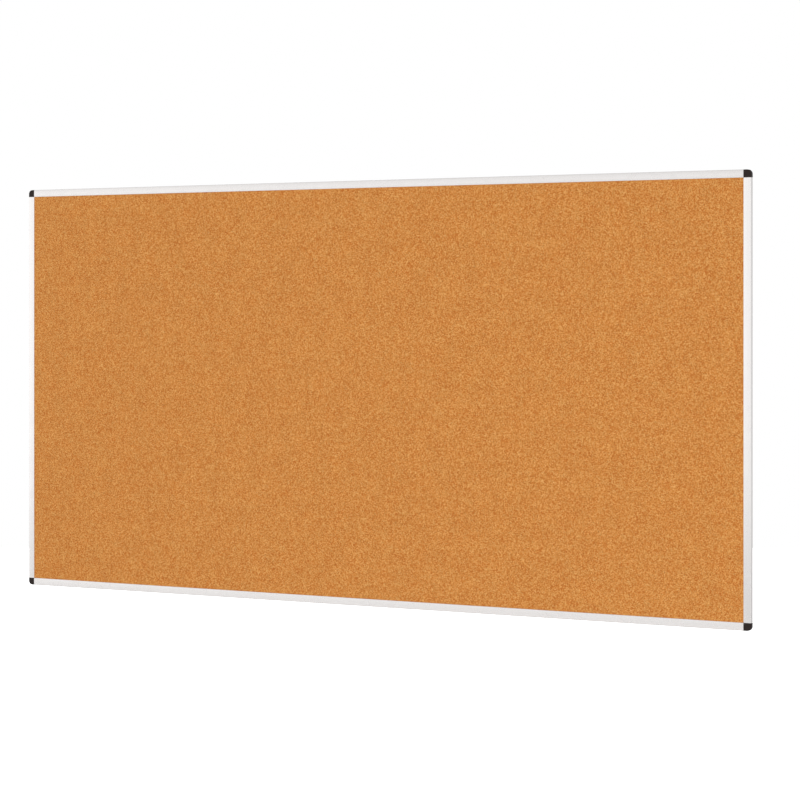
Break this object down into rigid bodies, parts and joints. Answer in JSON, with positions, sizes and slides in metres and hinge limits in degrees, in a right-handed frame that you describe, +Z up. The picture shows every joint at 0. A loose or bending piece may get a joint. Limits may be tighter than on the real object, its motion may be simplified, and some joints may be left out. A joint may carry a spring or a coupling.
{
  "type": "cork bulletin board",
  "caption": "Wide wall-mounted cork pin board in a slim aluminium frame, with rounded black plastic corners whose covers pull off to reach the wall screws.",
  "frame": {"origin": "middle of the board's outline, on the wall plane that its back rests on", "axes": "+X along the width, to the right as seen by a reader; +Y out of the back, into the wall; +Z up; the cork faces -Y"},
  "size_m": [2.4, 0.0127, 1.2],
  "materials": {
    "cork": "matte",
    "softboard": "matte",
    "zinc_sheet": "satin",
    "anodised_aluminium": "satin",
    "black_plastic": "satin",
    "zinc_plated_steel": "polished"
  },
  "bodies": {
    "board": {"cork_sheet": "cork", "softboard_core": "softboard", "backing_sheet": "zinc_sheet", "top_rail": "anodised_aluminium", "right_rail": "anodised_aluminium", "bottom_rail": "anodised_aluminium", "left_rail": "anodised_aluminium", "corner_body_top_left": "black_plastic", "corner_body_top_right": "black_plastic", "corner_body_bottom_right": "black_plastic", "corner_body_bottom_left": "black_plastic", "leg_screw_top_left_1": "zinc_plated_steel", "leg_screw_top_left_2": "zinc_plated_steel", "leg_screw_top_right_1": "zinc_plated_steel", "leg_screw_top_right_2": "zinc_plated_steel", "leg_screw_bottom_right_1": "zinc_plated_steel", "leg_screw_bottom_right_2": "zinc_plated_steel", "leg_screw_bottom_left_1": "zinc_plated_steel", "leg_screw_bottom_left_2": "zinc_plated_steel"},
    "cover_top_left": {"corner_cover_top_left": "black_plastic"},
    "cover_top_right": {"corner_cover_top_right": "black_plastic"},
    "cover_bottom_right": {"corner_cover_bottom_right": "black_plastic"},
    "cover_bottom_left": {"corner_cover_bottom_left": "black_plastic"}
  },
  "joints": [
    {"name": "cover_pull_top_left", "type": "slide", "parent": "board", "child": "cover_top_left", "axis": [0, -1, 0], "range_m": [0, 0.016]},
    {"name": "cover_pull_top_right", "type": "slide", "parent": "board", "child": "cover_top_right", "axis": [0, -1, 0], "range_m": [0, 0.016]},
    {"name": "cover_pull_bottom_right", "type": "slide", "parent": "board", "child": "cover_bottom_right", "axis": [0, -1, 0], "range_m": [0, 0.016]},
    {"name": "cover_pull_bottom_left", "type": "slide", "parent": "board", "child": "cover_bottom_left", "axis": [0, -1, 0], "range_m": [0, 0.016]}
  ]
}
